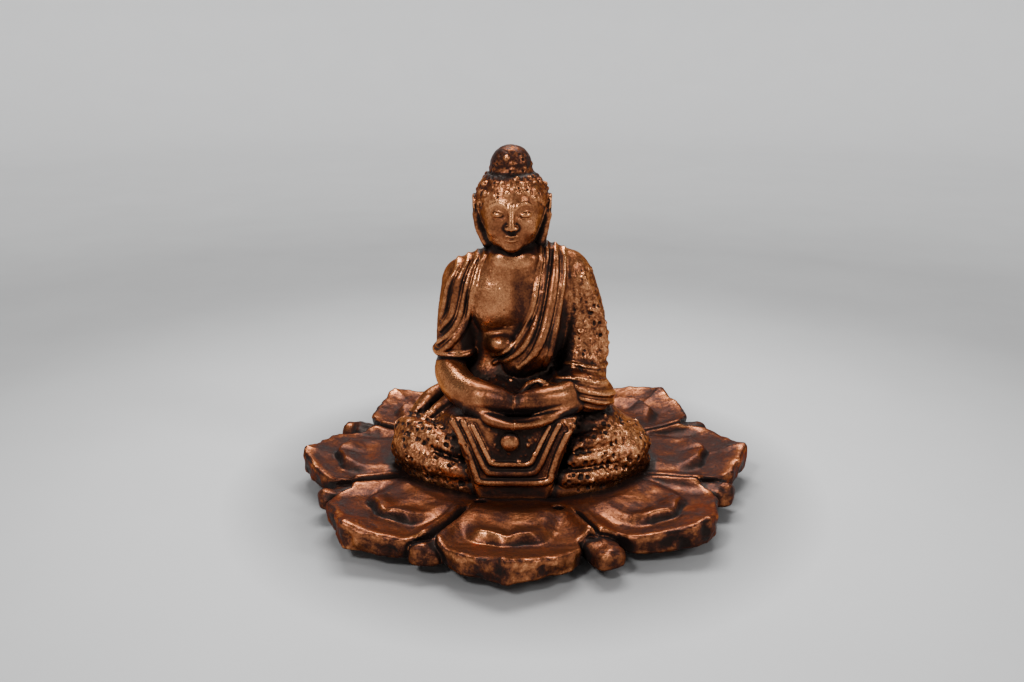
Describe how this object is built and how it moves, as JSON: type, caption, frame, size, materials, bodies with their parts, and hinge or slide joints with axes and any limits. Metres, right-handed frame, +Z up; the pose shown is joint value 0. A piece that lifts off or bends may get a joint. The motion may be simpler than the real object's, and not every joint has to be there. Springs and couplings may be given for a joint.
{
  "type": "buddha statue",
  "caption": "Seated robed Buddha in meditation on a round dish of lotus petals with holes for incense sticks, antique copper finish.",
  "frame": {"origin": "on the table under the middle of the lotus dish", "axes": "+Z up, the figure faces -Y, +X is the figure's left, the viewer's right"},
  "size_m": [0.1508, 0.1506, 0.1109],
  "materials": {
    "dish_copper": "antique copper rubbed over black, darker than the figure, worn bright on the petal edges",
    "figure_copper": "antique copper rubbed over black, bright on the high places and black in the folds",
    "stud_copper": "smooth worn copper",
    "steel": "plain steel fixings",
    "felt": "dark felt"
  },
  "bodies": {
    "root": {"lotus_dish": "dish_copper", "legs_and_apron": "figure_copper", "torso_and_robe": "figure_copper", "right_forearm": "figure_copper", "left_forearm": "figure_copper", "head": "figure_copper", "apron_stud": "stud_copper", "tie_rod": "steel", "tie_nut": "steel", "tie_washer": "steel", "neck_pin": "steel", "felt_pad_front_left": "felt", "felt_pad_back_left": "felt", "felt_pad_back_right": "felt", "felt_pad_front_right": "felt"}
  },
  "joints": []
}
